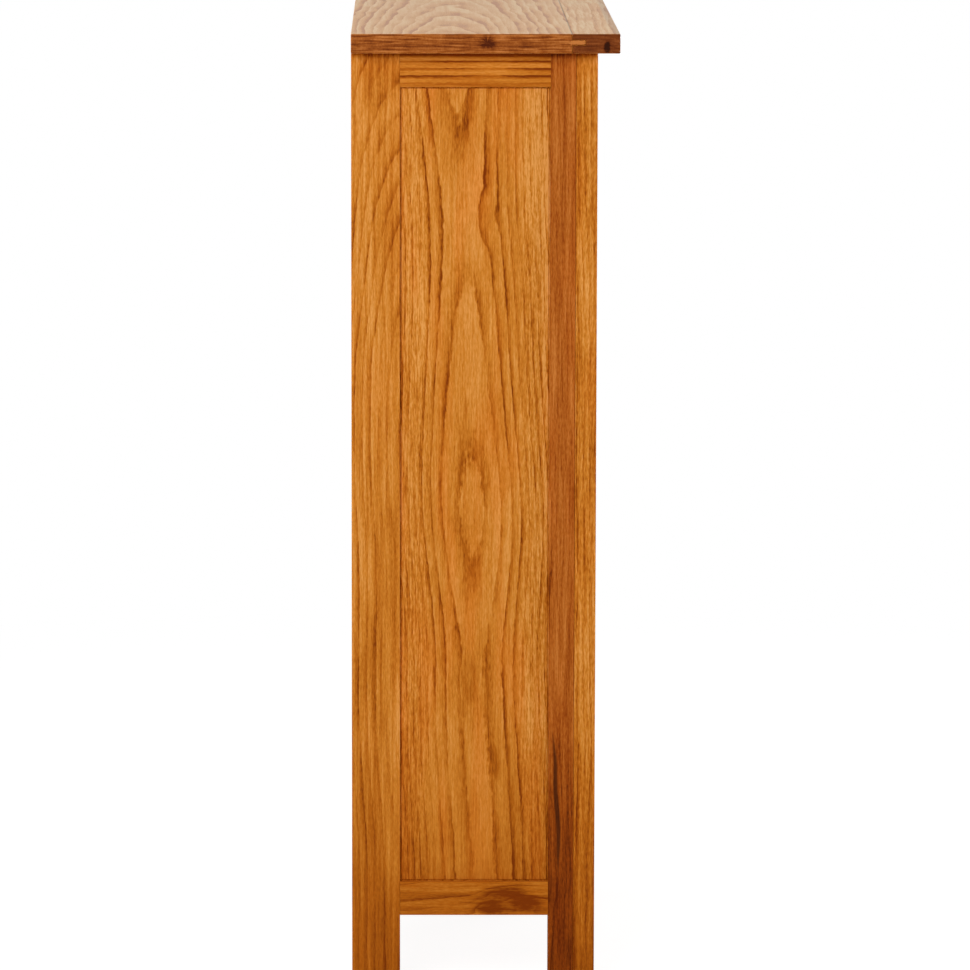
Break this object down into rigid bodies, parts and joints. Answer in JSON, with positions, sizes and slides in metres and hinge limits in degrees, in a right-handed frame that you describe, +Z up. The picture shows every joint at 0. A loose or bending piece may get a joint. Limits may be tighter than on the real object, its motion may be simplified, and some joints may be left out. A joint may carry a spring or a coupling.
{
  "type": "pantry cabinet",
  "caption": "Small oak storage cabinet with framed panel sides, a tongued and grooved top, one inset hinged door and loose shelves on pins.",
  "frame": {"origin": "on the floor, under the middle of the top board", "axes": "+Z up, -Y towards the door at the front, +X to the right of someone facing the front"},
  "size_m": [0.45, 0.225, 0.82],
  "materials": {
    "oak_leg": "orange-brown lacquered solid oak, straight vertical grain, satin to semi-gloss",
    "oak_panel": "lacquered solid oak with cathedral figure, satin to semi-gloss",
    "oak_rail": "lacquered solid oak with horizontal grain, satin to semi-gloss",
    "oak_dark": "darker red-brown heartwood oak under the same lacquer",
    "oak_face": "lacquered solid oak, face frame, satin to semi-gloss",
    "oak_top": "lacquered solid oak, glossier, grain along the width",
    "oak_top_strip": "darker lacquered solid oak strip",
    "oak_knob": "turned and lacquered oak",
    "oak_inside": "oak with a thinner coat of lacquer",
    "brass": "dull brass, slightly worn at the knuckles",
    "steel": "zinc-bright steel",
    "catch_plastic": "brown moulded plastic"
  },
  "bodies": {
    "carcass": {"back_bottom_rail": "oak_rail", "back_leg_left": "oak_leg", "back_leg_right": "oak_leg", "back_panel": "oak_inside", "back_top_rail": "oak_rail", "bottom_board": "oak_inside", "bottom_cleat_left": "oak_inside", "bottom_cleat_right": "oak_inside", "catch_case": "catch_plastic", "catch_magnet": "steel", "face_bottom_rail": "oak_rail", "face_stile_left": "oak_face", "face_stile_right": "oak_face", "face_top_rail": "oak_rail", "front_leg_left": "oak_dark", "front_leg_right": "oak_dark", "lower_hinge_frame_leaf": "brass", "lower_hinge_pin": "steel", "lower_shelf_pin_back_left": "steel", "lower_shelf_pin_back_right": "steel", "lower_shelf_pin_front_left": "steel", "lower_shelf_pin_front_right": "steel", "side_bottom_rail_left": "oak_rail", "side_bottom_rail_right": "oak_rail", "side_panel_left": "oak_panel", "side_panel_right": "oak_panel", "side_top_rail_left": "oak_rail", "side_top_rail_right": "oak_rail", "top_batten_front": "oak_inside", "top_batten_left": "oak_inside", "top_batten_right": "oak_inside", "top_front_strip": "oak_top_strip", "top_main_board": "oak_top", "upper_hinge_frame_leaf": "brass", "upper_hinge_pin": "steel", "upper_shelf_pin_back_left": "steel", "upper_shelf_pin_back_right": "steel", "upper_shelf_pin_front_left": "steel", "upper_shelf_pin_front_right": "steel"},
    "door": {"door_bottom_rail": "oak_rail", "door_hinge_stile": "oak_leg", "door_lock_stile": "oak_face", "door_panel": "oak_panel", "door_top_rail": "oak_rail", "knob": "oak_knob", "knob_screw": "steel", "lower_hinge_door_leaf": "brass", "strike_plate": "steel", "upper_hinge_door_leaf": "brass"},
    "lower_shelf": {"lower_shelf": "oak_inside"},
    "upper_shelf": {"upper_shelf": "oak_inside"}
  },
  "joints": [
    {"name": "door_hinge", "type": "hinge", "parent": "carcass", "child": "door", "pos_m": [-0.164, -0.0925, 0.434], "axis": [0, 0, -1], "range_deg": [0, 120]},
    {"name": "lower_shelf_lift", "type": "slide", "parent": "carcass", "child": "lower_shelf", "axis": [0, 0, 1], "range_m": [0, 0.1]},
    {"name": "upper_shelf_lift", "type": "slide", "parent": "carcass", "child": "upper_shelf", "axis": [0, 0, 1], "range_m": [0, 0.1]}
  ]
}
